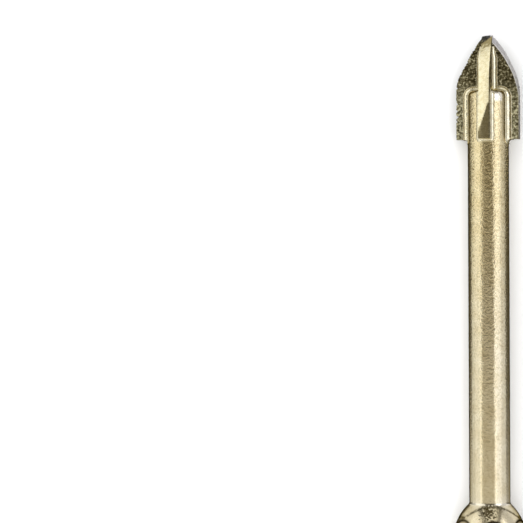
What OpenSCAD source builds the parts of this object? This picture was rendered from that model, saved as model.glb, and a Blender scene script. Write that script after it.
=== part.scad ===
// Carbide-tipped drill bit for glass and tile, with a hexagonal quick-change shank.
// Millimetres. The bit lies on one flat of its hexagon: the origin is the centre of the shank's
// end face, +Y runs along the axis to the point, and +Z is up.

/* [Overall] */
// Length from the shank's end face to the point
overall_length = 76.2; // [70:0.1:110]

/* [Hexagonal shank] */
// Width of the hexagon across its flats
hex_across_flats = 6.35; // [6:0.05:7]
// Distance from the end face to the middle of the dome that rounds the hexagon off
dome_start = 25.5; // [22:0.1:32]
// Radius of the dome's section
dome_radius = 5.2; // [4:0.1:8]
// Width of the chamfer round the end face
end_chamfer = 0.8; // [0.6:0.05:1.4]
// Distance from the end face to the middle of the detent groove
groove_offset = 10.5; // [8:0.1:14]
// Diameter at the floor of the detent groove
groove_floor_d = 4.7; // [4.2:0.1:5.4]
// Radius of the detent groove's section
groove_radius = 2.4; // [1.5:0.1:3]

/* [Rod] */
// Diameter of the rod
rod_d = 4.1; // [3.6:0.05:4.6]
// Radius of the hollow fillet between the rod and the dome
neck_fillet = 0.55; // [0.3:0.05:0.9]
// Radius that rounds the outer edge of the forked end
fork_round = 0.6; // [0.3:0.05:0.9]

/* [Carbide blades] */
// Cutting diameter
cutting_d = 6.35; // [5.6:0.05:6.6]
// Thickness of the carbide plates
blade_t = 1.1; // [0.8:0.05:1.3]
// Height of a plate from its foot to the point
blade_h = 10.5; // [9.5:0.1:14]
// Height of the curved point above the straight margins
point_h = 7; // [5.5:0.1:8.5]
// How far the plates stand out of the fork
blade_reach = 5.7; // [4.5:0.1:7]
// Drop of the ground relief from the cutting edge to the heel
relief_drop = 0.7; // [0.3:0.05:1]
// Turn of the head against the flats of the hexagon, in degrees
head_turn = 15; // [0:1:30]

/* [Braze] */
// Clearance round a plate that the braze fills
braze_gap = 0.05; // [0.03:0.01:0.1]
// Radius of the braze fillets
braze_fillet = 0.5; // [0.3:0.05:0.6]

/* [Hidden] */
$fn = 96;

// Oversize of a cutting shape past the surface that it cuts
past = 1;
// Depth at which a fillet's round bites into its walls, so that it ends at a small angle
bite = 0.01;
// Margin of the dome over the hexagon's corners, and of the point's curve over the margins
crossing = 0.06;
// Depth to which a fillet is drawn inside the pieces that are cut out of the braze
sink = 0.2;
// Step to which the places of the fillets are rounded
step = 0.001;

hex_corner_r = hex_across_flats / sqrt(3);
rod_r = rod_d / 2;
cutting_r = cutting_d / 2;
half_t = blade_t / 2;

// Heights along the axis
foot_z = overall_length - blade_h;
fork_z = overall_length - blade_reach;
slot_floor_z = foot_z - braze_gap;
slot_w = blade_t + 2 * braze_gap;

// The dome's circle and the neck's circle touch, and the neck's circle touches the rod
dome_top_r = hex_corner_r + crossing;
dome_centre_r = dome_top_r - dome_radius;
neck_centre_r = rod_r + neck_fillet;
neck_z = dome_start + sqrt(pow(dome_radius + neck_fillet, 2) - pow(neck_centre_r - dome_centre_r, 2));
touch_share = dome_radius / (dome_radius + neck_fillet);
touch_r = dome_centre_r + touch_share * (neck_centre_r - dome_centre_r);
touch_z = dome_start + touch_share * (neck_z - dome_start);

// The point is a round ground across the plate at the relief angle
relief_angle = atan2(relief_drop, blade_t);
point_rise = point_h + relief_drop / 2;
point_x = cutting_r + crossing;
point_r = (pow(point_rise * cos(relief_angle), 2) + pow(point_x, 2)) / (2 * point_x);

// Where the round of a fillet between the rod and a plate has its centre, to the nearest step,
// so that the parts of one fillet meet exactly
fillet_c = braze_fillet - bite;
fillet_x = round(sqrt(pow(rod_r + fillet_c, 2) - pow(half_t + fillet_c, 2)) / step) * step;
foot_fillet_x = round(sqrt(pow(rod_r + fillet_c, 2) - pow(half_t, 2)) / step) * step;
// The foot's fillet turns up into the upright one in a plane at this angle
foot_lean = atan2(foot_fillet_x - fillet_x, fillet_c);
foot_inner_x = rod_r - sink;
foot_inner_y = half_t - (foot_fillet_x - foot_inner_x) * tan(foot_lean);
// The round follows the fork's rounded edge at this distance from its centre
edge_path_r = fork_round + fillet_c;
edge_x = fillet_x - edge_path_r;
edge_z = fork_z - fork_round;
// Top of the braze in the corners between the plates, below the edge of the relief there
corner_reach_x = half_t + fillet_c;
corner_rise = sqrt(pow(point_r, 2) - pow(corner_reach_x - point_x + point_r, 2)) / cos(relief_angle);
corner_top_z = overall_length - point_rise + corner_rise - relief_drop / 2;

// Lays a piece that is drawn along +Z with its upper side towards -Y
module lay() {
    rotate([-90, 0, 0]) children();
}

// Lays a piece of the head, with the head's turn
module lay_head() {
    lay() rotate([0, 0, -head_turn]) children();
}

// Half section of the turned blank: hexagon bar, dome, neck, rod and the rod's rounded end
module blank_outline() {
    difference() {
        union() {
            square([dome_top_r, dome_start]);
            intersection() {
                translate([dome_centre_r, dome_start]) circle(r = dome_radius);
                square([dome_top_r + past, neck_z]);
            }
            difference() {
                polygon([[0, touch_z], [touch_r, touch_z], [neck_centre_r, neck_z], [0, neck_z]]);
                translate([neck_centre_r, neck_z]) circle(r = neck_fillet);
            }
            rod_outline(dome_start);
        }
        translate([dome_top_r - end_chamfer, 0]) rotate([0, 0, -45])
            translate([0, -dome_top_r]) square([dome_top_r, 2 * dome_top_r]);
        translate([groove_floor_d / 2 + groove_radius, groove_offset]) circle(r = groove_radius);
    }
}

// Half section of the rod from a given height to its rounded end
module rod_outline(from_z) {
    translate([0, from_z]) square([rod_r, edge_z - from_z]);
    translate([0, from_z]) square([rod_r - fork_round, fork_z - from_z]);
    intersection() {
        translate([rod_r - fork_round, edge_z]) circle(r = fork_round);
        translate([0, from_z]) square([rod_r, fork_z - from_z]);
    }
}

// The rod's end, before it is slotted
module rod_end(from_z) {
    rotate_extrude() rod_outline(from_z);
}

// The two crossing slots, as the tool that cuts them
module slots() {
    for (turn = [0, 90])
        rotate([0, 0, turn]) translate([-cutting_r, -slot_w / 2, slot_floor_z])
            cube([cutting_d, slot_w, blade_h + past]);
}

module steel_shank() {
    color("khaki") lay() difference() {
        intersection() {
            cylinder(h = overall_length, r = hex_corner_r, $fn = 6);
            rotate_extrude() blank_outline();
        }
        rotate([0, 0, -head_turn]) slots();
    }
}

// Everything under the relieved curve of the wing that points along +X
module wing_form() {
    translate([0, 0, overall_length - point_rise]) rotate([relief_angle, 0, 0]) union() {
        translate([point_x - point_r, 0, 0]) rotate([90, 0, 0])
            cylinder(h = 4 * point_h, r = point_r, center = true);
        translate([-2 * point_r, -2 * point_h, -3 * blade_h]) cube([4 * point_r, 4 * point_h, 3 * blade_h]);
    }
}

// Plate along X between two distances from the axis, cut to the cutting circle
module plate(from_x, to_x) {
    intersection() {
        translate([from_x, -half_t, foot_z]) cube([to_x - from_x, blade_t, blade_h + past]);
        translate([0, 0, foot_z - past]) cylinder(h = blade_h + 3 * past, r = cutting_r);
    }
}

module main_blade() {
    color("darkgoldenrod") lay_head() intersection() {
        plate(-cutting_d, cutting_d);
        wing_form();
        rotate([0, 0, 180]) wing_form();
    }
}

module side_blade(turn) {
    color("goldenrod") lay_head() rotate([0, 0, turn]) intersection() {
        plate(half_t + braze_gap, cutting_d);
        wing_form();
    }
}

module upper_side_blade() {
    side_blade(-90);
}

module lower_side_blade() {
    side_blade(90);
}

// Square corner with a hollow round, for a fillet between two walls at right angles
module corner_section() {
    difference() {
        translate([-sink, -sink]) square(fillet_c + sink);
        translate([fillet_c, fillet_c]) circle(r = braze_fillet);
    }
}

// Fillet up the plate's face, where it leaves the rod
module upright_fillet() {
    translate([0, 0, foot_z]) linear_extrude(edge_z - foot_z) difference() {
        polygon([[0, 0], [fillet_x, half_t - sink], [fillet_x, half_t + fillet_c]]);
        translate([fillet_x, half_t + fillet_c]) circle(r = braze_fillet);
    }
}

// Fillet over the rounded edge and along the top of the fork
module top_fillet() {
    translate([edge_x, half_t, edge_z]) rotate([-90, 0, 0]) rotate_extrude(angle = -90) difference() {
        translate([0, -sink]) square([edge_path_r, fillet_c + sink]);
        translate([edge_path_r, fillet_c]) circle(r = braze_fillet);
    }
    translate([half_t - sink, half_t, fork_z]) rotate([90, 0, 90])
        linear_extrude(edge_x - half_t + sink) corner_section();
}

// Fillet under the foot of a plate
module foot_fillet() {
    translate([0, 0, foot_z]) intersection() {
        rotate_extrude() difference() {
            translate([rod_r - sink, -fillet_c]) square(fillet_c + sink);
            translate([rod_r + fillet_c, -fillet_c]) circle(r = braze_fillet);
        }
        translate([0, 0, -blade_h]) linear_extrude(2 * blade_h) polygon([
            [foot_fillet_x, half_t], [foot_inner_x, foot_inner_y],
            [foot_inner_x, -foot_inner_y], [foot_fillet_x, -half_t],
        ]);
    }
}

// Quarter turn that leads the foot's fillet up into the upright one
module foot_corner_fillet() {
    translate([foot_fillet_x, half_t, foot_z]) rotate([0, 0, foot_lean]) rotate([0, 90, 0])
        rotate_extrude(angle = 90) difference() {
            translate([0, foot_inner_x - foot_fillet_x]) square([fillet_c, foot_fillet_x - foot_inner_x]);
            translate([fillet_c, 0]) circle(r = braze_fillet);
        }
}

// Fillet in the corner between two plates, above the fork
module inner_corner_fillet() {
    translate([half_t, half_t, fork_z - sink])
        linear_extrude(corner_top_z - fork_z + sink) corner_section();
}

// The fillets on one face of a plate, from its foot over the end of one prong
module side_fillets() {
    foot_corner_fillet();
    upright_fillet();
    top_fillet();
}

// All the braze, with the room for the prongs and the plates still filled
module braze_body() {
    intersection() {
        rod_end(slot_floor_z);
        slots();
    }
    for (turn = [-90, 90])
        rotate([0, 0, turn]) translate([half_t - sink, -half_t, fork_z - sink])
            cube([braze_gap + 2 * sink, blade_t, corner_top_z - fork_z + sink]);
    for (turn = [0, 90, 180, 270]) rotate([0, 0, turn]) {
        foot_fillet();
        inner_corner_fillet();
        side_fillets();
        rotate([0, 0, 90]) mirror([0, 1, 0]) side_fillets();
    }
}

module braze_joint() {
    color("lightgoldenrodyellow") lay_head() difference() {
        braze_body();
        difference() {
            rod_end(foot_z - blade_h);
            slots();
        }
        translate([-cutting_d, -half_t, foot_z]) cube([2 * cutting_d, blade_t, blade_h]);
        for (turn = [-90, 90])
            rotate([0, 0, turn]) translate([half_t + braze_gap, -half_t, foot_z])
                cube([cutting_d, blade_t, blade_h]);
    }
}

steel_shank();
main_blade();
upper_side_blade();
lower_side_blade();
braze_joint();
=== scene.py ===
# %% [markdown]
# # A gold glass-and-tile drill bit
# The bit is turned from hexagon bar, slotted at one end, and tipped with carbide plates that are brazed
# into the slots. The CAD part fixes where everything is. Each piece here is a finer, smoother copy of one
# CAD piece, in the same place, with the finish that the real piece has. The lesson goes from sizes to
# finishes, then piece by piece from the shank to the braze, and ends with the table, light and camera.

# %% [markdown]
# First the imported part is loaded as a fixed frame.

# %% The frame
import math
import bmesh
import bpy
import numpy as np
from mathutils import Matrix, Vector, noise


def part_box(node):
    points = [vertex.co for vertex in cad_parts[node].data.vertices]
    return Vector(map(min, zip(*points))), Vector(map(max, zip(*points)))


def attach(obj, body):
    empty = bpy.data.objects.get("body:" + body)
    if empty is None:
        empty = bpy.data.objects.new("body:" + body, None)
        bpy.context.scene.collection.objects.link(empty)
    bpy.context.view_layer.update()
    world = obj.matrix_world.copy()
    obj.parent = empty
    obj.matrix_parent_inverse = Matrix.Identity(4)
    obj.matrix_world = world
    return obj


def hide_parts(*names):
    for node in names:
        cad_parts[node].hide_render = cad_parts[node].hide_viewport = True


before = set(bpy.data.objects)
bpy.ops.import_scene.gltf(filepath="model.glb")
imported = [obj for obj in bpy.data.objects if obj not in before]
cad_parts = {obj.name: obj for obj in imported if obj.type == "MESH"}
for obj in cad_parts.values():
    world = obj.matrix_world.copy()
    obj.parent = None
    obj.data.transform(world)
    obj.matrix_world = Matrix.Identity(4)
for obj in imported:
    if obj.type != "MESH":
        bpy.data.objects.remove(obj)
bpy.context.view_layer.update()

# %% [markdown]
# The main sizes are read from the frame: the length of the bit, the width of its hexagon, and where the
# fork and the plates' feet lie. They could be typed in, but read like this they can't drift away from the
# part. They are rounded, because the frame's round faces are made of small flats. Meshes are built in
# millimetres, and turned into the frame's metres when they become objects.

# %% Sizes read from the frame
MM = 0.001


def box_in_mm(node):
    return np.array(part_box(node)) / MM


blade_low, blade_high = box_in_mm("main_blade")
shank_low, shank_high = box_in_mm("steel_shank")
LENGTH = round(blade_high[1], 1)
FOOT = round(blade_low[1], 2)
FORK = round(shank_high[1], 2)
FLATS = round(shank_high[2] - shank_low[2], 2)
print("length %.2f, plates from %.2f, fork to %.2f, flats %.2f" % (LENGTH, FOOT, FORK, FLATS))

# %% [markdown]
# The steel is turned, so it needs only radii and places along the axis. The dome is an arc that starts a
# little outside the hexagon's corners, and the neck is a small hollow arc that touches both the dome and
# the rod. Where those arcs meet follows from their radii, so it is worked out and not typed in.

# %% Sizes of the turned steel
ROD_R = 2.05  # radius of the rod
DOME_START = 25.5  # where the shoulder starts to leave the hexagon
DOME_R = 5.2  # radius of the dome's arc
NECK_R = 0.55  # radius of the hollow between dome and rod
CHAMFER = 0.8  # length of the chamfer at the shank's end
GROOVE_AT = 10.5  # middle of the detent groove
GROOVE_FLOOR = 2.35  # radius that the groove leaves
GROOVE_R = 2.4  # radius of the groove's hollow
FORK_ROUND = 0.6  # rounding of the prongs' ends
CROSSING = 0.06  # how far outside its start an arc begins
EDGE = FORK - FORK_ROUND
DOME_TOP = FLATS / math.sqrt(3) + CROSSING
DOME_CENTRE = DOME_TOP - DOME_R
NECK_CENTRE = ROD_R + NECK_R
NECK_Y = DOME_START + math.sqrt((DOME_R + NECK_R) ** 2 - (NECK_CENTRE - DOME_CENTRE) ** 2)
TOUCH_Y = DOME_START + DOME_R / (DOME_R + NECK_R) * (NECK_Y - DOME_START)
print("dome from %.2f to %.2f, neck to %.2f" % (DOME_START, TOUCH_Y, NECK_Y))

# %% [markdown]
# The head cuts a hole as wide as the hexagon. Its plates are thin, and the land along each cutting edge
# falls away behind it by the relief, so that only the edge itself rubs on the glass. That slope, and the
# radius of the round point, follow from the sizes.

# %% Sizes of the cutting head
CUT_R = FLATS / 2  # radius that the head cuts
HALF_T = 0.55  # half the thickness of a plate
POINT_H = 7.0  # height of the round point
RELIEF = 0.7  # fall of the land across the plate's thickness
GAP = 0.05  # clearance of a plate in its slot
HEAD_TURN = math.radians(15)  # turn of the head against the hexagon
TAN_A = RELIEF / (2 * HALF_T)
COS_A = 1 / math.sqrt(1 + TAN_A ** 2)
RISE = POINT_H + RELIEF / 2
POINT_X = CUT_R + CROSSING
POINT_R = ((RISE * COS_A) ** 2 + POINT_X ** 2) / (2 * POINT_X)
print("relief %.1f degrees, point radius %.2f" % (math.degrees(math.atan(TAN_A)), POINT_R))

# %% [markdown]
# The head is easiest to draw along its own axes: x along the main plate, y through its thickness, z along
# the bit. One function puts such points into the frame, turned as the head is turned against the hexagon.
# The other turns them by quarters, because the head's four sides are alike. Objects could be rotated
# instead, but a finished piece has its place in its mesh, so the points are turned before the mesh is made.

# %% From the head's axes to the frame
def head_to_frame(points):
    x, y, z = np.moveaxis(np.asarray(points, float), -1, 0)
    c = math.cos(HEAD_TURN)
    s = math.sin(HEAD_TURN)
    return np.stack([x * c + y * s, z, x * s - y * c], -1)


def turned(points, quarter):
    x, y, z = np.moveaxis(np.asarray(points, float), -1, 0)
    for _ in range(quarter):
        x, y = -y, x
    return np.stack([x, y, z], -1)


print("the main plate's way in the frame:", head_to_frame((1, 0, 0)).round(3))

# %% [markdown]
# Every piece goes through the same few steps: points and faces become an object, its round faces are
# shaded smooth up to a sharp angle, and numbers that a finish needs, such as where the coating is dark,
# are kept at its points. Then the piece is tied to the CAD node that it stands for.

# %% Making a piece
def mesh_object(name, points, faces, edges=()):
    mesh = bpy.data.meshes.new(name)
    mesh.from_pydata([tuple(float(v) * MM for v in point) for point in points], edges, faces)
    mesh.validate()
    obj = bpy.data.objects.new(name, mesh)
    bpy.context.scene.collection.objects.link(obj)
    print(name, len(mesh.vertices), "points", len(mesh.polygons), "faces")
    return obj


def smooth(obj, degrees):
    obj.data.shade_smooth()
    obj.data.set_sharp_from_angle(angle=math.radians(degrees))


def keep_numbers(obj, label, values):
    layer = obj.data.attributes.new(label, "FLOAT", "POINT")
    layer.data.foreach_set("value", np.array(values, np.float32))


def plain_mesh(obj):
    mesh = bpy.data.meshes.new_from_object(obj.evaluated_get(bpy.context.evaluated_depsgraph_get()))
    obj.modifiers.clear()
    obj.data = mesh


def stand_for(obj, node):
    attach(obj, "root")
    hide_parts(node)
    print(obj.name, "stands for", node)


# %% [markdown]
# Finishes come next, since the pieces take them as they are made. A node tree can be wired in the editor;
# in a script, two helpers are enough. One gives a socket a value or a link, and the other adds a node with
# its settings and inputs. The same two wire the Geometry Nodes later on.

# %% Wiring nodes
def put(tree, socket, value):
    if isinstance(value, bpy.types.NodeSocket):
        tree.links.new(value, socket)
    elif socket.type == "RGBA":
        socket.default_value = (*value, 1)
    else:
        socket.default_value = value


def add(tree, kind, inputs, **settings):
    node = tree.nodes.new(kind)
    for name, value in settings.items():
        setattr(node, name, value)
    for name, value in inputs.items():
        put(tree, node.inputs[name], value)
    return node


def maths(tree, operation, first, second):
    return add(tree, "ShaderNodeMath", {0: first, 1: second}, operation=operation).outputs[0]


print("nodes are wired by", put.__name__, "and", add.__name__)

# %% [markdown]
# Metal that looks real is never even, so each finish starts from patterns. They are all read at the
# piece's own coordinates, which stay put from every side: fine speckle, small pits here and there, the
# place along the bit, and the numbers that were kept at the points.

# %% Patterns
PIT_EDGE = 1.8  # outer radius of a pit, in inner radii
PIT_CHOICE = 0.01  # how sharply cells with a pit are told from those without


def own_place(tree):
    return add(tree, "ShaderNodeTexCoord", {}).outputs["Object"]


def along_bit(tree):
    return add(tree, "ShaderNodeSeparateXYZ", {"Vector": own_place(tree)}).outputs["Y"]


def kept_number(tree, label):
    return add(tree, "ShaderNodeAttribute", {}, attribute_name=label).outputs["Fac"]


def speckle(tree, scale, detail=2, roughness=0.5, stretch=(1, 1, 1)):
    place = add(tree, "ShaderNodeMapping", {"Vector": own_place(tree), "Scale": stretch}).outputs["Vector"]
    inputs = {"Vector": place, "Scale": scale, "Detail": detail, "Roughness": roughness}
    return add(tree, "ShaderNodeTexNoise", inputs).outputs["Fac"]


def span(tree, value, low, high, start=0, end=1):
    inputs = {"Value": value, "From Min": low, "From Max": high, "To Min": start, "To Max": end}
    return add(tree, "ShaderNodeMapRange", inputs).outputs["Result"]


def pits(tree, scale, radius, rarity):
    cell = add(tree, "ShaderNodeTexVoronoi", {"Vector": own_place(tree), "Scale": scale})
    lot = add(tree, "ShaderNodeSeparateColor", {"Color": cell.outputs["Color"]}).outputs["Red"]
    chosen = span(tree, lot, rarity, rarity + PIT_CHOICE)
    deep = span(tree, cell.outputs["Distance"], radius, PIT_EDGE * radius, 1, 0)
    return maths(tree, "MULTIPLY", chosen, deep)


print("a pit fades out over %.1f of its radius" % (PIT_EDGE - 1))

# %% [markdown]
# A pattern becomes a finish in three ways: as colour, through a ramp or a mix; as gloss, through the
# roughness; and as relief, through a bump. All the finishes here are metals, and their colour is also
# the colour of what they mirror. The tint at grazing angles is darker, as a thin coating shows it.

# %% From patterns to a metal
def ramp(tree, share, stops):
    node = add(tree, "ShaderNodeValToRGB", {"Fac": share})
    elements = node.color_ramp.elements
    while len(elements) < len(stops):
        elements.new(0.5)
    for element, (position, colour) in zip(elements, stops):
        element.position = position
        element.color = (*colour, 1)
    return node.outputs["Color"]


def mixed(tree, share, first, second, blend="MIX"):
    inputs = {"Factor": share, "A": first, "B": second}
    return add(tree, "ShaderNodeMix", inputs, data_type="RGBA", blend_type=blend).outputs["Result"]


def shaded(tree, tone, shade):
    return mixed(tree, 1, tone, shade, "MULTIPLY")


def bump(tree, height, strength, distance, over=None):
    inputs = {"Height": height, "Strength": strength, "Distance": distance}
    if over is not None:
        inputs["Normal"] = over
    return add(tree, "ShaderNodeBump", inputs).outputs["Normal"]


def new_metal(name, grazing_tint):
    material = bpy.data.materials.new(name)
    material.use_nodes = True
    shader = material.node_tree.nodes["Principled BSDF"]
    put(material.node_tree, shader.inputs["Metallic"], 1)
    put(material.node_tree, shader.inputs["Specular Tint"], grazing_tint)
    print("metal:", name)
    return material, material.node_tree


def finish_metal(tree, colour, roughness, normal):
    shader = tree.nodes["Principled BSDF"]
    put(tree, shader.inputs["Base Color"], colour)
    put(tree, shader.inputs["Roughness"], roughness)
    put(tree, shader.inputs["Normal"], normal)


# %% [markdown]
# All the steel is covered with one thin pale gold coating. Near the shoulder it is smooth and satin; towards
# the head it gets grainier, glossier and a little yellower, with a few pits. One flat gold would look like
# plastic, so the grain, the tone and the gloss all change along the bit. The places along it are in metres.

# %% Pale gold coating on the turned steel
DEEP_GOLD = (0.79, 0.69, 0.455)
PALE_GOLD = (0.86, 0.77, 0.54)
GRAIN_SHADE = (0.62, 0.57, 0.45)
YELLOW_SHADE = (1.0, 0.965, 0.84)
PIT_BROWN = (0.30, 0.23, 0.11)
HIGHLIGHT_GOLD = (0.97, 0.91, 0.74)
SHADE_AND_MARK_BROWN = (0.075, 0.055, 0.018)
SATIN = 0.19
WHITE = (1, 1, 1)


def gold_steel():
    material, tree = new_metal("pale gold coating", grazing_tint=(0.30, 0.25, 0.15))
    along = along_bit(tree)
    grains = speckle(tree, 4300, roughness=0.65)
    tone = ramp(tree, speckle(tree, 700, detail=3), [(0.35, DEEP_GOLD), (0.65, PALE_GOLD)])
    grainy = shaded(tree, tone, ramp(tree, grains, [(0.30, GRAIN_SHADE), (0.52, WHITE)]))
    tone = mixed(tree, span(tree, along, 0.030, 0.058, 0.3, 0.75), tone, grainy)
    tone = mixed(tree, span(tree, along, 0.046, 0.060), tone, shaded(tree, tone, YELLOW_SHADE))
    tone = mixed(tree, pits(tree, 600, radius=0.03, rarity=0.55), tone, PIT_BROWN)
    # painted highlights on the prong ends and in the neck
    tone = mixed(tree, kept_number(tree, "painted_highlight"), tone, HIGHLIGHT_GOLD)
    # painted shade on the arches and beside the braze, and dark marks on the shoulder
    tone = mixed(tree, kept_number(tree, "shade_and_marks"), tone, SHADE_AND_MARK_BROWN)
    polish = span(tree, speckle(tree, 1800), 0.3, 0.7, 0.10, 0.17)
    gloss = span(tree, along, 0.030, 0.050, SATIN, polish)
    relief = bump(tree, grains, span(tree, along, 0.026, 0.058, 0.10, 0.6), 0.00007)
    marks = speckle(tree, 1100, detail=4, roughness=0.6, stretch=(1, 0.25, 1))
    finish_metal(tree, tone, gloss, bump(tree, marks, 0.12, 0.0001, over=relief))
    return material


GOLD = gold_steel()

# %% [markdown]
# The carbide plates are pressed from powder and sintered, so their faces are a crust of dark grains with
# bright flecks. A ramp with three stops over fine speckle gives exactly that. Close to the feet the crust is
# paler, and worn places are a dull grey.

# %% Dark granular gold on the plates' faces
DARK_CRUST = [(0.36, (0.04, 0.03, 0.012)), (0.53, (0.19, 0.165, 0.08)), (0.65, (0.92, 0.85, 0.58))]
PALE_CRUST = [(0.36, (0.06, 0.052, 0.026)), (0.50, (0.32, 0.29, 0.165)), (0.62, (0.95, 0.90, 0.62))]
CLOUD_SHADE = (0.55, 0.52, 0.45)
DULL_GREY = (0.07, 0.07, 0.062)
BRASSY_TINT = (0.5, 0.45, 0.3)


def granular_carbide():
    material, tree = new_metal("granular gold carbide", BRASSY_TINT)
    dark = ramp(tree, speckle(tree, 4600, detail=3, roughness=0.7), DARK_CRUST)
    dark = shaded(tree, dark, ramp(tree, speckle(tree, 1300), [(0.38, CLOUD_SHADE), (0.6, WHITE)]))
    pale = ramp(tree, speckle(tree, 4200, detail=3, roughness=0.75), PALE_CRUST)
    tone = mixed(tree, span(tree, along_bit(tree), 0.0690, 0.0715), pale, dark)
    tone = mixed(tree, kept_number(tree, "dull"), tone, DULL_GREY)
    gloss = span(tree, speckle(tree, 5000), 0.3, 0.7, 0.30, 0.5)
    crust = speckle(tree, 5200, detail=3, roughness=0.7)
    finish_metal(tree, tone, gloss, bump(tree, crust, 0.8, 0.00018))
    return material


GRAIN = granular_carbide()

# %% [markdown]
# Only the lands along the point are ground. On the main plate the grinding has left bare carbide, on the
# side plates there is gold over it. Both are smoother than the crust, with faint grinding marks across, a
# highlight painted along the cutting edge and a worn place, so one function makes both.

# %% Ground lands
LAND_EDGE_HIGHLIGHT = (0.97, 0.94, 0.85)


def ground_land(name, low, high, wear_and_highlight, roughness):
    material, tree = new_metal(name, grazing_tint=(0.7, 0.68, 0.6))
    tone = ramp(tree, speckle(tree, 3000, detail=3, roughness=0.6), [(0.35, low), (0.6, high)])
    # painted highlight along the main plate's cutting edges
    tone = mixed(tree, kept_number(tree, "painted_highlight"), tone, LAND_EDGE_HIGHLIGHT)
    tone = mixed(tree, kept_number(tree, "dull"), tone, wear_and_highlight)
    marks = speckle(tree, 4000, detail=3, roughness=0.6, stretch=(1, 0.3, 1))
    finish_metal(tree, tone, roughness, bump(tree, marks, 0.05, 0.00005))
    return material


BARE = ground_land("bare ground carbide", low=(0.38, 0.365, 0.345), high=(0.66, 0.64, 0.61),
                   wear_and_highlight=(0.09, 0.09, 0.085), roughness=0.32)
GOLD_LAND = ground_land("gold ground land", low=(0.83, 0.73, 0.44), high=(0.97, 0.89, 0.60),
                        wear_and_highlight=(0.30, 0.235, 0.09), roughness=0.22)

# %% [markdown]
# The braze flowed as a liquid before the coating came over it, so it is the smoothest and brightest finish
# on the bit: little change of tone, even gloss, and a slight ripple.

# %% Bright braze
DEEP_BRAZE = (0.82, 0.74, 0.49)
PALE_BRAZE = (0.96, 0.89, 0.65)
BRAZE_GLOSS = 0.16


def braze_finish():
    material, tree = new_metal("bright braze", BRASSY_TINT)
    tone = ramp(tree, speckle(tree, 1500, detail=3), [(0.3, DEEP_BRAZE), (0.65, PALE_BRAZE)])
    finish_metal(tree, tone, BRAZE_GLOSS, bump(tree, speckle(tree, 3500), 0.3, 0.00006))
    return material


BRAZE = braze_finish()

# %% [markdown]
# The shank is one piece of steel. It starts as hexagon bar, so its section is the smaller of the hexagon
# and whatever radius the lathe has left: that one rule gives the domed shoulder with its six arches, the
# detent groove, the chamfer and the rod. A Boolean of a cone and a prism would do it too, but the rule
# gives an even mesh, and lets the edge between the two be eased by a few hundredths.

# %% The lathe's profile
def arc_height(radius, off):
    return math.sqrt(max(radius ** 2 - off ** 2, 0))


def lathe_radius(y):
    radius = DOME_TOP
    if y > DOME_START:
        radius = DOME_CENTRE + arc_height(DOME_R, y - DOME_START)
    if y > TOUCH_Y:
        radius = NECK_CENTRE - arc_height(NECK_R, NECK_Y - y)
    if y >= NECK_Y:
        radius = ROD_R
    if y > EDGE:
        radius = ROD_R - FORK_ROUND + arc_height(FORK_ROUND, y - EDGE)
    radius = min(radius, DOME_TOP - CHAMFER + y)
    if abs(y - GROOVE_AT) < GROOVE_R:
        radius = min(radius, GROOVE_FLOOR + GROOVE_R - arc_height(GROOVE_R, y - GROOVE_AT))
    return radius


def hexagon_radius(angle):
    off = (angle - math.pi / 2 + math.pi / 6) % (math.pi / 3) - math.pi / 6
    return FLATS / 2 / math.cos(off)


def soft_min(first, second, width):
    share = max(width - abs(first - second), 0) / width
    return min(first, second) - share * share * width / 4


print("radius at the groove %.2f, at the neck %.2f" % (lathe_radius(GROOVE_AT), lathe_radius(NECK_Y)))

# %% [markdown]
# The mesh needs rings of points only where the profile or the finish changes. So they lie close together on
# the chamfer, in the groove, over the dome and round the prongs' ends, and far apart on the straight
# stretches, with two more at the plates' feet.

# %% Stations along the shank
STRETCHES = (
    (0, CHAMFER, 14),
    (CHAMFER + 0.2, GROOVE_AT - 2.3, 8),
    (GROOVE_AT - 2.2, GROOVE_AT + 2.2, 44),
    (GROOVE_AT + 2.5, DOME_START - 0.5, 12),
    (DOME_START, TOUCH_Y, 96),
    (TOUCH_Y, NECK_Y, 16),
    (DOME_START + 5, EDGE - 1, 16),
    (FOOT - 0.2, FOOT + 0.4, 2),
    (EDGE - 0.8, EDGE, 9),
)
ROUND_STATIONS = 14
places = [np.linspace(start, end, count) for start, end, count in STRETCHES]
places.append(EDGE + FORK_ROUND * np.sin(np.linspace(0, math.pi / 2, ROUND_STATIONS)))
stations = sorted(set(np.round(np.concatenate(places), 5)))
print(len(stations), "stations along the shank")

# %% [markdown]
# Marks and wear are drawn with a few small shapes: a clamp, a bell curve, and Perlin noise that is the same
# in every run. Noise at a point's own place, and not random draws, keeps a mark where it is when the mesh
# gets finer. The place is multiplied to make the noise finer, and another seed gives another noise.

# %% Shapes for marks and wear
def clamp(value):
    return min(max(value, 0), 1)


def bell(off, width):
    return math.exp(-(off / width) ** 2)


def ripple(u, v, seed):
    return noise.noise(Vector((u, v, seed)))


def turn_from_top(angle, aside=0):
    return (angle - math.pi / 2 - aside + math.pi) % (2 * math.pi) - math.pi


print("half a bell's width away it is %.2f high" % bell(0.5, 1))
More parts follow.
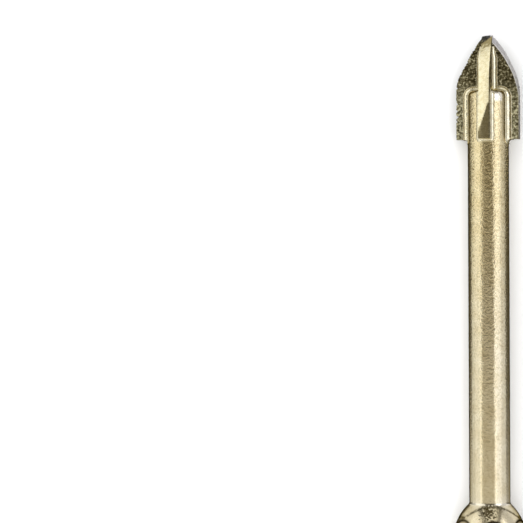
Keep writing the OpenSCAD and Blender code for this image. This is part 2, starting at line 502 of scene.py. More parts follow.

# %% [markdown]
# Shade is painted into the coating along the arches, where the dome meets the flats, and the coating is
# painted darker in a broken line below the neck and in a rough patch above the upper flat. They follow the
# shape, so they are worked out point by point from the same radii, and kept with the mesh.

# %% Painted shade and dark marks on the shoulder
MARKS_FROM = DOME_START + 0.6
MARKS_TO = NECK_Y + 0.3
ARCH_WIDTH = 0.085
ARCH_OUTSIDE = 0.02  # how far the lathe's radius is outside the flat where an arch is darkest
ARCH_DARKNESS = 0.95
LINE_TOP = TOUCH_Y + 0.03  # where the line lies above the upper flat
LINE_DROP = 0.45  # how far it falls at the sides
LINE_SPREAD = math.radians(41)  # how far round the bit it has fallen by that
LINE_BEND = 2.3  # how sharply it bends down
LINE_END = 1.5  # where it stops falling, in spreads
LINE_WIDTH = 0.16
LINE_DARKNESS = 0.95
PATCH_Y = TOUCH_Y - 0.52
PATCH_ASIDE = 0.16  # radians from the top of the bit
PATCH_SIZE = (0.24, 0.55)  # radians round the bit, millimetres along it
PATCH_LEVEL = 0.75  # what core and specks have to exceed together
PATCH_BORDER = 0.05  # the core's height where the patch ends
PATCH_DARKNESS = 0.97


def dark_line(y, angle):
    off = min(abs(turn_from_top(angle)) / LINE_SPREAD, LINE_END)
    line_y = LINE_TOP - LINE_DROP * off ** LINE_BEND
    broken = 1 + 1.5 * ripple(17 * angle, 4 * y, 2) + ripple(38 * angle, 9 * y, 6)
    return bell(y - line_y, LINE_WIDTH) * clamp(broken)


def dark_patch(y, angle):
    core = bell(turn_from_top(angle, PATCH_ASIDE), PATCH_SIZE[0]) * bell(y - PATCH_Y, PATCH_SIZE[1])
    specks = ripple(14 * angle, 5.5 * y, 5) + 0.7 * ripple(27 * angle, 11 * y, 1)
    return clamp(2.7 * core + 2.8 * specks - PATCH_LEVEL) * (core > PATCH_BORDER)


def shoulder_shade_and_marks(y, angle, lathe, flat):
    if not MARKS_FROM < y < MARKS_TO:
        return 0
    # the arches get painted shade where the dome meets the flats
    arch = ARCH_DARKNESS * bell(lathe - flat - ARCH_OUTSIDE, ARCH_WIDTH)
    line = LINE_DARKNESS * dark_line(y, angle)
    return min(arch + line + PATCH_DARKNESS * dark_patch(y, angle), 1)


print("line at %.2f, patch at %.2f along the bit" % (LINE_TOP, PATCH_Y))

# %% [markdown]
# Elsewhere highlights are painted into the coating's colour: on the rounded ends of the two prongs that lie
# uppermost and lowest, and as a thin ring in the neck. A brighter light would spread over the whole rod, so
# these painted highlights are kept in the finish, as a second number.

# %% Painted highlights on the neck and prong ends
PRONG_HALF_ANGLE = math.radians(39)
PRONG_END = 0.55  # how far the bright end reaches behind the prong's rounding
END_FADE = 0.2
CROWN_FADE = 0.08  # in radians round the bit
RING_BACK = 0.16  # the ring's place behind the neck
RING_WIDTH = 0.14
RING_BRIGHTNESS = 0.85


def painted_highlight_at(y, angle):
    off = abs(abs(angle - math.pi) - math.pi / 2)
    end = clamp((y - EDGE + PRONG_END) / END_FADE)
    crown = clamp((PRONG_HALF_ANGLE - off) / CROWN_FADE)
    return max(end * crown, RING_BRIGHTNESS * bell(y - NECK_Y + RING_BACK, RING_WIDTH))


print("brightness on top of a prong: %.1f" % painted_highlight_at(EDGE, math.pi / 2))

# %% [markdown]
# Beside the main plate's beads, shade is painted into the coating on the prongs, in brown. The shade fades
# with the distance from the plate, and ends at the plates' feet, as the braze does.

# %% Painted shade along the main plate's braze
SHADE = 0.48
SHADE_REACH = 1.33  # where it ends, from the middle of the plate
SHADE_FADE = 0.16
FOOT_FADE = 0.4


# painted shade on the prongs beside the main plate's beads
def painted_braze_shade(y, angle):
    from_plate = ROD_R * abs(math.sin(angle - HEAD_TURN))
    return SHADE * clamp((SHADE_REACH - from_plate) / SHADE_FADE) * clamp((y - FOOT) / FOOT_FADE)


print("shade beside the main plate: %.2f" % painted_braze_shade(FORK, HEAD_TURN))

# %% [markdown]
# Now the blank, before it is slotted: a ring of points at each station, joined by quads and closed by one
# face at each end. A Screw modifier turns a profile with less code, but only into round sections, and this
# one is a hexagon for part of the way. So the rings are written out, with the numbers for the finish.

# %% The blank
SEGMENTS = 288
EASED = 0.07  # width of the eased edge between dome and flats
points, shade_and_marks, wear_and_highlight = [], [], []
for y in stations:
    lathe = lathe_radius(y)
    for angle in (2 * math.pi * i / SEGMENTS for i in range(SEGMENTS)):
        flat = hexagon_radius(angle)
        radius = soft_min(lathe, flat, EASED) if y < NECK_Y else lathe
        points.append((radius * math.cos(angle), y, radius * math.sin(angle)))
        # kept at the points: painted shade and dark marks, and painted highlights
        shade_and_marks.append(max(shoulder_shade_and_marks(y, angle, lathe, flat), painted_braze_shade(y, angle)))
        wear_and_highlight.append(painted_highlight_at(y, angle))
faces = []
for ring in range(0, len(points) - SEGMENTS, SEGMENTS):
    for i in range(SEGMENTS):
        j = (i + 1) % SEGMENTS
        faces.append((ring + i, ring + SEGMENTS + i, ring + SEGMENTS + j, ring + j))
faces.append(tuple(range(SEGMENTS)))
faces.append(tuple(reversed(range(len(points) - SEGMENTS, len(points)))))
shank = mesh_object("gold_shank", points, faces)
keep_numbers(shank, "shade_and_marks", shade_and_marks)
keep_numbers(shank, "painted_highlight", wear_and_highlight)

# %% [markdown]
# Two slots are milled across the rod's end, at right angles, for the carbide plates. Two long boxes cut
# them here as the cutter does, with an exact Boolean, which keeps the numbers at the points.

# %% The slots
OVERRUN = 1  # how far the cutter runs past the steel
CUTTER_FACES = [(0, 2, 3, 1), (4, 5, 7, 6), (0, 1, 5, 4), (2, 6, 7, 3), (0, 4, 6, 2), (1, 3, 7, 5)]


def slot_cutter(quarter):
    width = HALF_T + GAP
    reach = CUT_R + OVERRUN
    heights = (FOOT - GAP, FORK + OVERRUN)
    box = [(x, y, z) for z in heights for y in (-width, width) for x in (-reach, reach)]
    return mesh_object("slot_cutter", head_to_frame(turned(box, quarter)), CUTTER_FACES)


for quarter in (0, 1):
    cutter = slot_cutter(quarter)
    cut = shank.modifiers.new("slot", "BOOLEAN")
    cut.object = cutter
    cut.operation = "DIFFERENCE"
    cut.solver = "EXACT"
    plain_mesh(shank)
    bpy.data.objects.remove(cutter)
shank.data.materials.clear()
shank.data.materials.append(GOLD)
smooth(shank, degrees=32)
stand_for(shank, "steel_shank")
print("slotted shank:", len(shank.data.polygons), "faces")

# %% [markdown]
# A wing's outline is straight up from the foot and then rounds over to the point. The round is ground across
# the plate at the relief angle, so the outline shifts with the depth in the plate. The side wings also have
# a low heel facet on their outer edge, which starts higher on one side of the plate than on the other. The
# place where a plate has become as narrow as is wanted has no short formula, so it is found by halving.

# %% The outline of a wing
HEEL_LOW = FOOT + 0.65  # where the facet starts on the plate's low side
HEEL_RISE = 1.45  # how much it climbs over half the thickness
HEEL_SLOPE = 0.10  # how fast it leans inwards
HALVINGS = 50


def straight_reach(y):
    return math.sqrt(CUT_R ** 2 - y ** 2)


def wing_reach(z, y):
    up = (z - y * TAN_A - LENGTH + RISE) * COS_A
    if up <= 0:
        return straight_reach(y)
    return min(straight_reach(y), POINT_X - POINT_R + arc_height(POINT_R, up))


def heel_line(side):
    return HEEL_LOW + HEEL_RISE * (side + 1)


def side_reach(z, y):
    return min(wing_reach(z, y), straight_reach(y) - HEEL_SLOPE * max(z - heel_line(y / HALF_T), 0))


def top_of(width_at, width):
    low, high = FOOT + 1, LENGTH + 2
    for _ in range(HALVINGS):
        middle = (low + high) / 2
        low, high = (middle, high) if width_at(middle) > width else (low, middle)
    return low


print("a wing reaches %.2f at the foot and %.2f at the fork" % (wing_reach(FOOT, 0), wing_reach(FORK, 0)))

# %% [markdown]
# The crust is rough enough to show in the outline, and the cutting edges are chipped and worn, most of all
# towards the point. Both are moved points and not only bump, so that they show against the light from any
# side. The chips only take material away, so the plates stay inside the CAD part.

# %% Crust and chips
CRUST_HEIGHT = 0.035
CRUST_SINK = 0.012  # the crust's middle lies this far inside the plate
CRUST_FADE = 0.12  # it fades out this close to an edge
CHIP_START = FOOT + 1.5
CHIP_DEPTH = 0.26
WEAR_DEPTH = 0.33
WEAR_START = LENGTH - 4.6
WEAR_FADE = 1.6


def crust_at(x, z, seed):
    return 0.6 * ripple(4.5 * x, 4.5 * z, seed) + 0.4 * ripple(10 * x, 10 * z, seed + 7)


def chip_at(z, seed):
    if z < CHIP_START:
        return 0
    rough = ripple(3.1 * z, seed, 3.1) + 0.8 * ripple(7.3 * z, seed, 8.2)
    return CHIP_DEPTH * max(rough, 0) + WEAR_DEPTH * clamp((z - WEAR_START) / WEAR_FADE)


print("wear at the point: %.2f" % chip_at(LENGTH, 1))

# %% [markdown]
# A plate is made as a fine box of points bent to its outline: layers through the thickness, rows up the
# plate, columns across it. First come the ends of each row. The chisel edge at the top is worn a little
# lower on one side, and only the two-winged main plate has chipped edges.

# %% Layers and rows of a plate
LAYERS = 8
ROWS = 170
THIN = 0.03  # width at which a layer ends
CHIP_ROOM = 0.3  # largest share of a row that a chip may take
CHIP_LEAN = 0.4  # how much less a chip takes on the land's far side
SECOND_WING = 0.4  # how much the second wing is chipped, as a share of the first
SECOND_SEED = 20


def layer_y(layer):
    return HALF_T * (2 * layer / LAYERS - 1)


def layer_tops(left, right, blunt):
    tops = []
    for layer in range(LAYERS + 1):
        y = layer_y(layer)
        top = top_of(lambda z: left(z, y) + right(z, y), THIN)
        tops.append(top - blunt * (1 - layer / LAYERS))
    return tops


def row_ends(left, right, z, layer, seed, two_winged):
    low = -left(z, layer_y(layer))
    high = right(z, layer_y(layer))
    if two_winged:
        room = CHIP_ROOM * (high - low)
        depth = layer / LAYERS
        low += min(chip_at(z, seed) * (1 - CHIP_LEAN * depth), room)
        second = SECOND_WING * chip_at(z, seed + SECOND_SEED)
        high -= min(second * (1 - CHIP_LEAN * (1 - depth)), room)
    return low, high


print("layers at", [round(layer_y(layer), 2) for layer in range(LAYERS + 1)])

# %% [markdown]
# Then the points. Only those on the skin are made. The two outer layers get the crust, and the row ends of
# the main plate get a number for the highlight that is painted along the cutting edge.

# %% Points of a plate
# the painted highlight along the cutting edge fades over these layers
HIGHLIGHT_LAYERS = 2.2  # how many layers deep the bright cutting edge is


def crust_lift(x, z, ends, top, layer, seed):
    if 0 < layer < LAYERS:
        return 0
    inset = min(x - ends[0], ends[1] - x, z - FOOT, top - z)
    lift = CRUST_HEIGHT * crust_at(x, z, seed + layer) * clamp(inset / CRUST_FADE) - CRUST_SINK
    return lift if layer else -lift


def edge_highlight(column, columns, layer):
    from_edge = {0: LAYERS - layer, columns: layer}.get(column, LAYERS)
    return max(0, 1 - from_edge / HIGHLIGHT_LAYERS)


def plate_points(left, right, columns, seed, two_winged, blunt):
    tops = layer_tops(left, right, blunt)
    index, points, painted_highlight = {}, [], []
    for layer in range(LAYERS + 1):
        for row in range(ROWS + 1):
            z = FOOT + (tops[layer] - FOOT) * (row / ROWS)
            ends = row_ends(left, right, z, layer, seed, two_winged)
            for column in range(columns + 1):
                if 0 < layer < LAYERS and 0 < row < ROWS and 0 < column < columns:
                    continue
                x = ends[0] + (ends[1] - ends[0]) * column / columns
                y = layer_y(layer) + crust_lift(x, z, ends, tops[layer], layer, seed)
                index[column, row, layer] = len(points)
                points.append((x, y, z))
                painted_highlight.append(edge_highlight(column, columns, layer) if two_winged else 0)
    return index, points, painted_highlight


print("bright edge by layer:", [round(edge_highlight(0, 1, layer), 2) for layer in range(LAYERS + 1)])

# %% [markdown]
# The faces of the box are quads on its six sides, each with its corners in the order that makes it point
# outwards. The broad sides and the foot are crust; the top and the ends of the rows are ground land, apart
# from the end of a side plate that butts against the main one.

# %% Faces of a plate
CRUST, LAND = 0, 1


def plate_faces(columns, two_winged):
    left_finish = LAND if two_winged else CRUST
    for i in range(ROWS):
        for c in range(columns):
            yield CRUST, ((c, i, 0), (c + 1, i, 0), (c + 1, i + 1, 0), (c, i + 1, 0))
            yield CRUST, ((c, i, LAYERS), (c, i + 1, LAYERS), (c + 1, i + 1, LAYERS), (c + 1, i, LAYERS))
        for k in range(LAYERS):
            yield left_finish, ((0, i, k), (0, i + 1, k), (0, i + 1, k + 1), (0, i, k + 1))
            yield LAND, ((columns, i, k), (columns, i, k + 1), (columns, i + 1, k + 1), (columns, i + 1, k))
    for c in range(columns):
        for k in range(LAYERS):
            yield CRUST, ((c, 0, k), (c, 0, k + 1), (c + 1, 0, k + 1), (c + 1, 0, k))
            yield LAND, ((c, ROWS, k), (c + 1, ROWS, k), (c + 1, ROWS, k + 1), (c, ROWS, k + 1))


def plate(name, left, right, columns, quarter, seed, two_winged, blunt):
    index, points, painted_highlight = plate_points(left, right, columns, seed, two_winged, blunt)
    finishes, faces = [], []
    for finish, corners in plate_faces(columns, two_winged):
        finishes.append(finish)
        faces.append([index[corner] for corner in corners])
    obj = mesh_object(name, head_to_frame(turned(points, quarter)), faces)
    keep_numbers(obj, "painted_highlight", painted_highlight)
    return obj, finishes


print("a plate one column wide has", len(list(plate_faces(1, True))), "faces")

# %% [markdown]
# The point and the heels are where a plate is used and handled most, so the finish is worn dull there. The
# border of a worn place is ragged. On the main plate it is a small spot beside the tip.

# %% Worn places on the plates
HEEL_RAGGED = 0.18  # how far the border strays
HEEL_FADE = 0.15
HEEL_DULLNESS = 0.55
HEEL_MOTTLE = 0.25  # how much the dullness changes from place to place
SIDE_TIP = LENGTH - 1.6  # where a side plate starts to be dull
SIDE_TIP_LEAN = 0.15  # how much higher that is on the plate's far side
SIDE_TIP_RAGGED = 0.80
SIDE_TIP_FADE = 0.35
SIDE_TIP_DULLNESS = 0.85
MAIN_TIP = LENGTH - 1.0  # where the main plate starts to be dull
MAIN_TIP_FADE = 0.5
MAIN_SPOT = (-0.9, 0.3)  # from and to across the main plate


def side_dull(across, z):
    side = across / HALF_T
    ragged = ripple(6 * across, 6 * z, 4) + 0.6 * ripple(15 * across, 15 * z, 9)
    heel = clamp((heel_line(side) - z + HEEL_RAGGED * ragged) / HEEL_FADE)
    tip = clamp((z - SIDE_TIP - SIDE_TIP_LEAN * side + SIDE_TIP_RAGGED * ragged) / SIDE_TIP_FADE)
    return max((HEEL_DULLNESS + HEEL_MOTTLE * ragged) * heel, SIDE_TIP_DULLNESS * tip)


def main_dull(x, z):
    return clamp((z - MAIN_TIP) / MAIN_TIP_FADE) * (MAIN_SPOT[0] < x < MAIN_SPOT[1])


def finish_plate(obj, finishes, land, dull, node):
    keep_numbers(obj, "dull", dull)
    obj.data.materials.append(GRAIN)
    obj.data.materials.append(land)
    obj.data.polygons.foreach_set("material_index", finishes)
    smooth(obj, degrees=40)
    stand_for(obj, node)


print("dull from %.1f on the side plates, %.1f on the main one" % (SIDE_TIP, MAIN_TIP))

# %% [markdown]
# The main blade runs right across the head, with a relieved land on each wing. Its left wing is the right
# one turned about the axis, so its outline is the same with the depth reversed.

# %% The main blade
main, finishes = plate("main_carbide_blade", lambda z, y: wing_reach(z, -y), wing_reach,
                       columns=110, quarter=0, seed=1, two_winged=True, blunt=0.22)
spot = [main_dull(v.co.x / MM, v.co.y / MM) for v in main.data.vertices]
finish_plate(main, finishes, BARE, spot, "main_blade")

# %% [markdown]
# The two side blades are half plates that butt against the main one, with a clearance for the braze. They
# are the same outline, turned by a quarter to either side, each with its own grain. A Mirror modifier would
# put the second one's relief on the wrong side, in front of its cutting edge.

# %% The side blades
main_way = head_to_frame((1, 0, 0))
for quarter, node, seed, turn in ((3, "upper_side_blade", 31, 1), (1, "lower_side_blade", 57, -1)):
    side, finishes = plate(node + "_carbide", lambda z, y: -(HALF_T + GAP), side_reach,
                           columns=48, quarter=quarter, seed=seed, two_winged=False, blunt=0.10)
    wear_and_highlight = [side_dull(turn * np.dot(v.co, main_way) / MM, v.co.y / MM) for v in side.data.vertices]
    finish_plate(side, finishes, GOLD_LAND, wear_and_highlight, node)

# %% [markdown]
# The braze wells up round every plate and freezes as a bright bead. The bead follows a path: up beside the
# plate along the rod, over the prong's rounded end and in to the corner, and at the foot down and under the
# plate. The path is a list of points, each with two directions, along the plate and along the steel.

# %% The guide of the bead round one wing
ROD_X = math.sqrt(ROD_R ** 2 - HALF_T ** 2)  # where the plate comes out of the rod
ROUND_ROD = np.array((-HALF_T / ROD_R, ROD_X / ROD_R, 0))
AWAY = np.array((0, 1, 0))
DOWN = np.array((0, 0, -1))
ROD_POINTS = 26  # points of the guide along the rod
END_POINTS = 13  # over the prong's end
INWARD_POINTS = 11  # in to the corner
FOOT_POINTS = 9  # down at the foot, and as many under the plate


def side_guide():
    rows = []
    for z in np.linspace(FOOT, EDGE, ROD_POINTS):
        rows.append(((ROD_X, HALF_T, z), (1, 0, 0), ROUND_ROD))
    for t in np.linspace(0, math.pi / 2, END_POINTS)[1:]:
        radius = ROD_R - FORK_ROUND + FORK_ROUND * math.cos(t)
        place = (math.sqrt(radius ** 2 - HALF_T ** 2), HALF_T, EDGE + FORK_ROUND * math.sin(t))
        share = t / (math.pi / 2)
        rows.append((place, (math.cos(t), 0, math.sin(t)), ROUND_ROD * (1 - share) + AWAY * share))
    for x in np.linspace(rows[-1][0][0], HALF_T, INWARD_POINTS)[1:]:
        rows.append(((x, HALF_T, FORK), (0, 0, 1), AWAY))
    return rows


def foot_guide():
    rows = []
    for t in np.linspace(0, math.pi / 2, FOOT_POINTS)[1:]:
        rows.append(((ROD_X, HALF_T, FOOT), (1, 0, 0), ROUND_ROD * math.cos(t) + DOWN * math.sin(t)))
    for y in np.linspace(HALF_T, 0, FOOT_POINTS)[1:]:
        x = math.sqrt(ROD_R ** 2 - y ** 2)
        rows.append(((x, y, FOOT), (x / ROD_R, y / ROD_R, 0), DOWN))
    return rows


def wing_guide(full):
    half = np.array(side_guide()[::-1] + foot_guide(), float)
    other = half[-2::-1] * (1, -1, 1)
    return np.concatenate([half, other]) * np.array((1, full, full))[:, None]


print(len(wing_guide(1)), "points round a wing")

# %% [markdown]
# In the four corners between the plates, a shorter bead runs straight up from the fork towards the point,
# and tapers where the braze ran out.

# %% The guide of the bead in a corner
CORNER_LAND = 0.40  # width of plate that is left beside the bead's end
CORNER_START = FORK - 0.1
CORNER_POINTS = 24
TAPER_START = 0.75  # share of the bead's length
TAPER = 0.65  # share of its width that it loses


def corner_guide():
    top = top_of(lambda z: wing_reach(z, -HALF_T), HALF_T + CORNER_LAND)
    rows = []
    for t in np.linspace(0, 1, CORNER_POINTS):
        full = 1 - TAPER * max(t - TAPER_START, 0) / (1 - TAPER_START)
        z = CORNER_START + t * (top - CORNER_START)
        rows.append(((HALF_T, HALF_T, z), (full, 0, 0), (0, full, 0)))
    return np.array(rows)


print(len(corner_guide()), "points up a corner")

# %% [markdown]
# The bead's section is drawn once, as distances along the plate and along the steel: hollow in the middle,
# with a rounded lip where it ends on the carbide and another where it ends on the steel. It dips into both,
# so that no slit shows.

# %% The section of the bead
BEAD_WIDTH = 0.44
LIP = 0.055  # radius of the lips
DIP = -0.12  # how far the bead reaches into plate and steel
LIP_SHARE = 0.75  # where the dip ends, as a share of the width
LIP_RISE = 0.2  # height of the lips' centres, in lip radii
LIFT = 0.01  # the hollow stays this far off the corner
HOLLOW = (0.14, 0.86)  # from and to, as shares of a quarter circle
ROUND_POINTS = 9  # points in the hollow, and in each lip


def lip_round(start, end):
    for angle in np.radians(np.linspace(start, end, ROUND_POINTS)):
        yield BEAD_WIDTH + LIP * math.cos(angle), LIP * LIP_RISE + LIP * math.sin(angle)


def bead_section():
    rows = [(DIP, DIP), (BEAD_WIDTH * LIP_SHARE, DIP)]
    rows += lip_round(-90, 150)
    for angle in np.linspace(*HOLLOW, ROUND_POINTS) * math.pi / 2:
        rows.append((BEAD_WIDTH * (1 - math.sin(angle)) + LIFT, BEAD_WIDTH * (1 - math.cos(angle)) + LIFT))
    rows += [(up, out) for out, up in lip_round(180, -60)]
    rows.append((DIP, BEAD_WIDTH * LIP_SHARE))
    return rows


SECTION = bead_section()
print(len(SECTION), "points in the section")

# %% [markdown]
# A bevelled curve would turn the section as it likes, and this one has to keep one lip on the plate and the
# other on the steel. So Geometry Nodes sweep it. These helpers each add one node of that tree: how many
# points a mesh has, the value of another mesh's point by its number, a direction that was kept with the
# guide, and sums of vectors.

# %% Nodes for the sweep
def point_count(tree, geometry):
    return add(tree, "GeometryNodeAttributeDomainSize", {"Geometry": geometry}).outputs["Point Count"]


def sampled(tree, geometry, value, index):
    inputs = {"Geometry": geometry, "Value": value, "Index": index}
    return add(tree, "GeometryNodeSampleIndex", inputs, data_type="FLOAT_VECTOR").outputs[0]


def kept_way(tree, label):
    node = add(tree, "GeometryNodeInputNamedAttribute", {"Name": label}, data_type="FLOAT_VECTOR")
    return node.outputs["Attribute"]


def vector_sum(tree, first, second):
    return add(tree, "ShaderNodeVectorMath", {0: first, 1: second}, operation="ADD").outputs[0]


def scaled(tree, way, length):
    return add(tree, "ShaderNodeVectorMath", {0: way, "Scale": length}, operation="SCALE").outputs[0]


print("the sweep has nodes of its own for counting, sampling and vectors")

# %% [markdown]
# The tree lays out a grid, one row for each point of the guide and one column for each point of the
# section, with the first column again at the end. From a grid point's number it works out the row and the
# column.

# %% Grid, rows and columns
SOCKET_KINDS = {"Guide": "Geometry", "Section": "Object", "Unevenness": "Float", "Material": "Material"}


def sweep_inputs(tree):
    for name, kind in SOCKET_KINDS.items():
        tree.interface.new_socket(name, in_out="INPUT", socket_type="NodeSocket" + kind)
    tree.interface.new_socket("Bead", in_out="OUTPUT", socket_type="NodeSocketGeometry")
    return tree.nodes.new("NodeGroupInput").outputs


def sweep_grid(tree, guide, section):
    columns = point_count(tree, section)
    around = maths(tree, "ADD", columns, 1)
    sizes = {"Vertices X": point_count(tree, guide), "Vertices Y": around}
    grid = add(tree, "GeometryNodeMeshGrid", sizes).outputs["Mesh"]
    number = tree.nodes.new("GeometryNodeInputIndex").outputs[0]
    middle = maths(tree, "ADD", number, 0.5)
    row = maths(tree, "FLOOR", maths(tree, "DIVIDE", middle, around), 0)
    past_row = maths(tree, "SUBTRACT", number, maths(tree, "MULTIPLY", row, around))
    return grid, row, maths(tree, "MODULO", past_row, columns)


print("inputs of the sweep:", list(SOCKET_KINDS))

# %% [markdown]
# Then every grid point goes to its place: the guide's point, plus the section's two distances along the
# guide's two directions. A little noise along the guide swells and thins the bead, as a real one is uneven.
# The seam is welded, and the result is made real and given its finish.

# %% The sweep in Geometry Nodes
WOBBLE_SCALE = 1400
WELD = 1e-8


def sweep_tree():
    tree = bpy.data.node_groups.new("bead sweep", "GeometryNodeTree")
    given = sweep_inputs(tree)
    section = add(tree, "GeometryNodeObjectInfo", {"Object": given["Section"]}).outputs["Geometry"]
    grid, row, column = sweep_grid(tree, given["Guide"], section)
    place = tree.nodes.new("GeometryNodeInputPosition").outputs[0]
    centre = sampled(tree, given["Guide"], place, row)
    drawn = add(tree, "ShaderNodeSeparateXYZ", {"Vector": sampled(tree, section, place, column)}).outputs
    wobble = add(tree, "ShaderNodeTexNoise", {"Vector": centre, "Scale": WOBBLE_SCALE, "Detail": 1})
    uneven = maths(tree, "SUBTRACT", wobble.outputs["Fac"], 0.5)
    swell = maths(tree, "ADD", 1, maths(tree, "MULTIPLY", uneven, given["Unevenness"]))
    spot = centre
    for label, distance in (("along_plate", drawn["X"]), ("along_steel", drawn["Y"])):
        way = sampled(tree, given["Guide"], kept_way(tree, label), row)
        spot = vector_sum(tree, spot, scaled(tree, way, maths(tree, "MULTIPLY", distance, swell)))
    moved = add(tree, "GeometryNodeSetPosition", {"Geometry": grid, "Position": spot}).outputs[0]
    welded = add(tree, "GeometryNodeMergeByDistance", {"Geometry": moved, "Distance": WELD}).outputs[0]
    real = add(tree, "GeometryNodeRealizeInstances", {"Geometry": welded}).outputs[0]
    dressed = add(tree, "GeometryNodeSetMaterial", {"Geometry": real, "Material": given["Material"]})
    add(tree, "NodeGroupOutput", {"Bead": dressed.outputs[0]})
    return tree


TREE = sweep_tree()
SOCKETS = {item.name: item.identifier for item in TREE.interface.items_tree if item.in_out == "INPUT"}
print(len(TREE.nodes), "nodes, inputs", SOCKETS)

# %% [markdown]
# Each bead starts as its guide, a line of points that carries the two directions. The modifier's inputs are
# set by identifier before anything is evaluated, and its result becomes a plain mesh. Last, the open ends
# are filled.

# %% One bead
SECTION_OBJECT = mesh_object("bead section", [(out, up, 0) for out, up in SECTION], [])


def guide_object(name, guide, quarter):
    place, *ways = (head_to_frame(turned(guide[:, part], quarter)) for part in range(3))
    obj = mesh_object(name, place, [], [(i, i + 1) for i in range(len(place) - 1)])
    for label, way in zip(("along_plate", "along_steel"), ways):
        layer = obj.data.attributes.new(label, "FLOAT_VECTOR", "POINT")
        layer.data.foreach_set("vector", way.astype(np.float32).ravel())
    return obj


def close_ends(mesh):
    work = bmesh.new()
    work.from_mesh(mesh)
    bmesh.ops.holes_fill(work, edges=[edge for edge in work.edges if edge.is_boundary], sides=0)
    bmesh.ops.recalc_face_normals(work, faces=work.faces)
    work.to_mesh(mesh)
    work.free()


def swept(name, guide, quarter, unevenness):
    obj = guide_object(name, guide, quarter)
    sweep = obj.modifiers.new("sweep", "NODES")
    sweep.node_group = TREE
    sweep[SOCKETS["Section"]] = SECTION_OBJECT
    sweep[SOCKETS["Unevenness"]] = unevenness
    sweep[SOCKETS["Material"]] = BRAZE
    plain_mesh(obj)
    close_ends(obj.data)
    smooth(obj, degrees=50)
    return obj


# %% [markdown]
# There are eight beads, one round each wing and one in each corner, all from the same two guides turned by
# quarters. Those round the side plates' wings are narrower. Together they stand for the one CAD piece of
# braze.

# %% The eight beads
SIDE_WING_FULL = 0.74  # width of the beads round the side plates, as a share of the others
WING_UNEVEN = 0.25
CORNER_UNEVEN = 0.2
beads = []
for quarter in range(4):
    full = SIDE_WING_FULL if quarter % 2 else 1
    beads.append(swept("bead_round_wing_%d" % (quarter + 1), wing_guide(full), quarter, WING_UNEVEN))
    beads.append(swept("bead_in_corner_%d" % (quarter + 1), corner_guide(), quarter, CORNER_UNEVEN))
bpy.data.objects.remove(SECTION_OBJECT)
for bead in beads:
    stand_for(bead, "braze_joint")
print(len(beads), "beads,", sum(len(bead.data.polygons) for bead in beads), "faces")

# %% [markdown]
# The bit lies on one flat of its hexagon on a plain pale table. The table takes its soft shadow, but is left
# out of its reflections, which would be all table otherwise, and casts no shadow on the reflectors below.

# %% The table
TABLE_HALF = 900
TABLE_Z = -FLATS / 2 - 0.005  # a hair below the flat
TABLE_CORNERS = ((-1, -1), (1, -1), (1, 1), (-1, 1))
TABLE_GREY = (0.9, 0.9, 0.91)
floor = mesh_object("floor", [(TABLE_HALF * x, TABLE_HALF * y, TABLE_Z) for x, y in TABLE_CORNERS],
                    [(0, 1, 2, 3)])
pale = bpy.data.materials.new("pale floor")
pale.use_nodes = True
pale_shader = pale.node_tree.nodes["Principled BSDF"]
put(pale.node_tree, pale_shader.inputs["Base Color"], TABLE_GREY)
put(pale.node_tree, pale_shader.inputs["Roughness"], 1)
put(pale.node_tree, pale_shader.inputs["Specular IOR Level"], 0)
floor.data.materials.append(pale)
floor.visible_glossy = False
floor.visible_shadow = False

# %% [markdown]
# Polished metal shows what stands round it, so it is lit by what it mirrors. Each light is a soft rectangle
# with a given brightness, which only the metal sees. An upright panel is given by its distance to the
# side, and by where it starts and ends along the bit and in height; the right side is a little cooler.

# %% Soft panels
LEFT_TINT = (0.99, 1.0, 1.03)
RIGHT_TINT = (0.98, 1.0, 1.13)


def panel(name, place, size, radiance, turn, colour=WHITE):
    light = bpy.data.lights.new(name, "AREA")
    light.shape = "RECTANGLE"
    light.size, light.size_y = size
    light.color = colour
    light.energy = radiance * math.pi * size[0] * size[1]
    obj = bpy.data.objects.new(name, light)
    obj.location = place
    obj.rotation_euler = turn
    obj.visible_diffuse = False
    bpy.context.scene.collection.objects.link(obj)
    return obj


def upright(name, x, y0, y1, z0, z1, radiance):
    turn = (math.pi / 2, math.pi / 2, math.copysign(math.pi / 2, x))
    colour = RIGHT_TINT if x > 0 else LEFT_TINT
    panel(name, (x, (y0 + y1) / 2, (z0 + z1) / 2), (z1 - z0, y1 - y0), radiance, turn, colour)


def level(name, x0, x1, y0, y1, z, radiance, colour):
    return panel(name, ((x0 + x1) / 2, (y0 + y1) / 2, z), (x1 - x0, y1 - y0), radiance, (0, 0, 0), colour)


print("a panel of one square metre and brightness one has %.2f watts" % math.pi)

# %% [markdown]
# Tall panels left and right draw the two bright stripes along the rod, and the reflectors below them the
# paler bands beside the stripes. They are split along the bit, because the rod, the prongs and the lands
# each mirror another stretch of them. One more panel, just in front of the right one, brightens the lands.

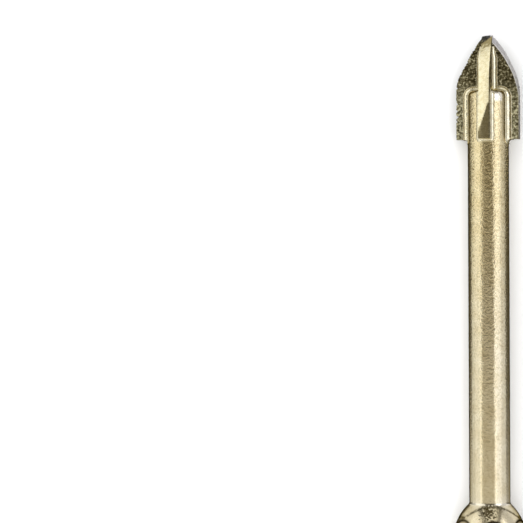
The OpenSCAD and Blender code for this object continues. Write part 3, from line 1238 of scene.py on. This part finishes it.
# %% Light from the sides
LEFT, RIGHT, NEARER = -0.35, 0.35, 0.34
SIDE_PANELS = (
    ("left panel", LEFT, -0.5, 0.085, -0.02, 0.295, 0.84),
    ("left prong panel", LEFT, 0.085, 0.12, -0.02, 0.295, 1.20),
    ("left head panel", LEFT, 0.12, 0.58, -0.02, 0.295, 0.97),
    ("left reflector", LEFT, -0.3, 0.065, -0.20, -0.02, 0.64),
    ("left head reflector", LEFT, 0.065, 0.092, -0.20, -0.02, 1.15),
    ("left prong reflector", LEFT, 0.092, 0.115, -0.10, -0.02, 0.15),
    ("right panel", RIGHT, -0.5, 0.095, 0.17, 0.80, 1.01),
    ("right head panel", RIGHT, 0.095, 0.58, 0.17, 0.80, 0.80),
    ("right reflector", RIGHT, -0.5, 0.06, -0.05, 0.17, 0.66),
    ("right head reflector", RIGHT, 0.06, 0.58, -0.05, 0.17, 0.50),
    ("left front reflector", LEFT, 0.17, 0.9, -0.6, -0.02, 0.75),
    ("right front reflector", RIGHT, 0.113, 0.7, -0.6, -0.05, 0.80),
    ("left low reflector", LEFT, -0.5, 0.0, -0.5, -0.20, 0.62),
    ("right low reflector", RIGHT, -0.5, 0.0, -0.5, -0.05, 0.40),
    ("left upper panel", LEFT, 0.13, 0.62, 0.295, 0.52, 0.90),
    ("right bright panel", NEARER, 0.1045, 0.42, 0.20, 0.55, 0.80),
)
for side_panel in SIDE_PANELS:
    upright(*side_panel)
print(len(SIDE_PANELS), "panels at the sides")

# %% [markdown]
# Behind the shank and beyond the point stand panels of their own, for the faces that look that way. The
# ceiling is dim, and nearly dark over the head: it is what the grainy middle stripe mirrors. The table has a
# light to itself, which the metal doesn't mirror, and the room adds a faint warm glow.

# %% Light from the ends and above
CEILING = 0.95
TO_THE_POINT = (math.pi / 2, 0, 0)
TO_THE_SHANK = (-math.pi / 2, 0, 0)
ROOM_GLOW = (0.122, 0.111, 0.088)
panel("rear panel", (0, -1.1, 0.45), (2.0, 1.0), 0.85, TO_THE_POINT)
panel("rear low reflector", (0, -0.6, -0.35), (1.6, 0.6), 0.45, TO_THE_POINT)
panel("facing panel", (0, 1.1, 0.75), (0.9, 1.5), 0.70, TO_THE_SHANK)
level("ceiling over the head", -1.6, 0.6, 0.04, 0.9, CEILING, 0.03, (1.0, 0.88, 0.66))
level("ceiling over the shank", -1.6, 0.6, -0.8, 0.04, CEILING, 0.48, (1.0, 0.94, 0.84))
table_light = level("table light", -0.95, 0.45, -0.6, 0.8, 0.90, 3.15, (0.98, 0.99, 1.0))
table_light.visible_diffuse = True
table_light.visible_glossy = False
world = bpy.data.worlds.new("dim room")
world.use_nodes = True
background = world.node_tree.nodes["Background"]
put(world.node_tree, background.inputs["Color"], ROOM_GLOW)
put(world.node_tree, background.inputs["Strength"], 1)
bpy.context.scene.world = world
print(len(bpy.data.lights), "lights in all")

# %% [markdown]
# The camera looks straight down, a little to the left of the bit, with a long lens, and is turned by a
# quarter of a degree. Its focal length is given in pixels of a picture 523 wide, because that is how it was
# measured.

# %% Camera
SENSOR = 36
PICTURE_WIDTH = 523
FOCAL_PIXELS = 2161
CAMERA_PLACE = (-22.72, 53.6, 216)  # in millimetres
CAMERA_TURN = math.radians(-0.26)
camera = bpy.data.objects.new("camera", bpy.data.cameras.new("camera"))
camera.location = [v * MM for v in CAMERA_PLACE]
camera.rotation_euler = (0, 0, CAMERA_TURN)
camera.data.sensor_width = SENSOR
camera.data.lens = SENSOR * FOCAL_PIXELS / PICTURE_WIDTH
camera.data.clip_start = 0.01
camera.data.clip_end = 10
bpy.context.scene.collection.objects.link(camera)
bpy.context.scene.camera = camera
bpy.context.scene.view_settings.view_transform = "Standard"
print("lens of %.0f mm" % camera.data.lens)
